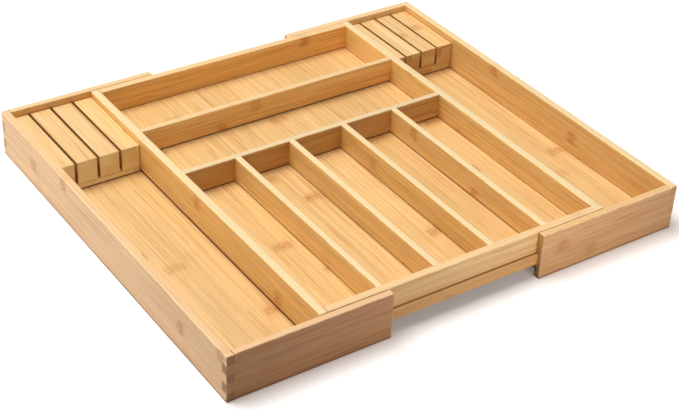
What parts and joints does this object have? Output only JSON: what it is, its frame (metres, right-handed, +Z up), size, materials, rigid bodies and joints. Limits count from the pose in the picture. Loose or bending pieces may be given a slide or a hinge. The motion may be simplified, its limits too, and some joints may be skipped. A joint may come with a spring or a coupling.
{
  "type": "drawer organizer insert",
  "caption": "Expandable bamboo drawer organizer: a divided centre tray between sliding side trays, each with a removable slotted knife block.",
  "frame": {"origin": "middle of the footprint, on the surface the organizer stands on, with the side trays drawn out as at rest", "axes": "+X along the width, the way the right side tray slides out; +Y from front to back; +Z up"},
  "size_m": [0.5106, 0.454, 0.05],
  "materials": {
    "wall_bamboo": "satin clear lacquer on carbonised bamboo",
    "divider_bamboo": "satin clear lacquer on bamboo",
    "floor_bamboo": "satin clear lacquer on bamboo plywood",
    "block_bamboo": "satin clear lacquer on laminated bamboo"
  },
  "bodies": {
    "centre_tray": {"centre_front_wall": "wall_bamboo", "centre_back_wall": "wall_bamboo", "centre_left_wall": "wall_bamboo", "centre_right_wall": "wall_bamboo", "centre_bottom_panel": "floor_bamboo", "rear_divider": "divider_bamboo", "cross_divider": "divider_bamboo", "short_divider_1": "divider_bamboo", "short_divider_2": "divider_bamboo", "short_divider_3": "divider_bamboo", "short_divider_4": "divider_bamboo", "front_slide_rail": "wall_bamboo", "back_slide_rail": "wall_bamboo"},
    "left_tray": {"left_side_board": "wall_bamboo", "left_front_board": "wall_bamboo", "left_back_board": "wall_bamboo", "left_bottom_panel": "floor_bamboo"},
    "right_tray": {"right_side_board": "wall_bamboo", "right_front_board": "wall_bamboo", "right_back_board": "wall_bamboo", "right_bottom_panel": "floor_bamboo"},
    "left_knife_block": {"left_block_base": "block_bamboo", "left_block_bar_1": "block_bamboo", "left_block_bar_2": "block_bamboo", "left_block_bar_3": "block_bamboo", "left_block_bar_4": "block_bamboo"},
    "right_knife_block": {"right_block_base": "block_bamboo", "right_block_bar_1": "block_bamboo", "right_block_bar_2": "block_bamboo", "right_block_bar_3": "block_bamboo", "right_block_bar_4": "block_bamboo"}
  },
  "joints": [
    {"name": "left_tray_slide", "type": "slide", "parent": "centre_tray", "child": "left_tray", "axis": [-1, 0, 0], "range_m": [0, 0.033]},
    {"name": "right_tray_slide", "type": "slide", "parent": "centre_tray", "child": "right_tray", "axis": [1, 0, 0], "range_m": [0, 0.0408]},
    {"name": "left_block_lift", "type": "slide", "parent": "left_tray", "child": "left_knife_block", "axis": [0, 0, 1], "range_m": [0, 0.045]},
    {"name": "right_block_lift", "type": "slide", "parent": "right_tray", "child": "right_knife_block", "axis": [0, 0, 1], "range_m": [0, 0.045]}
  ]
}
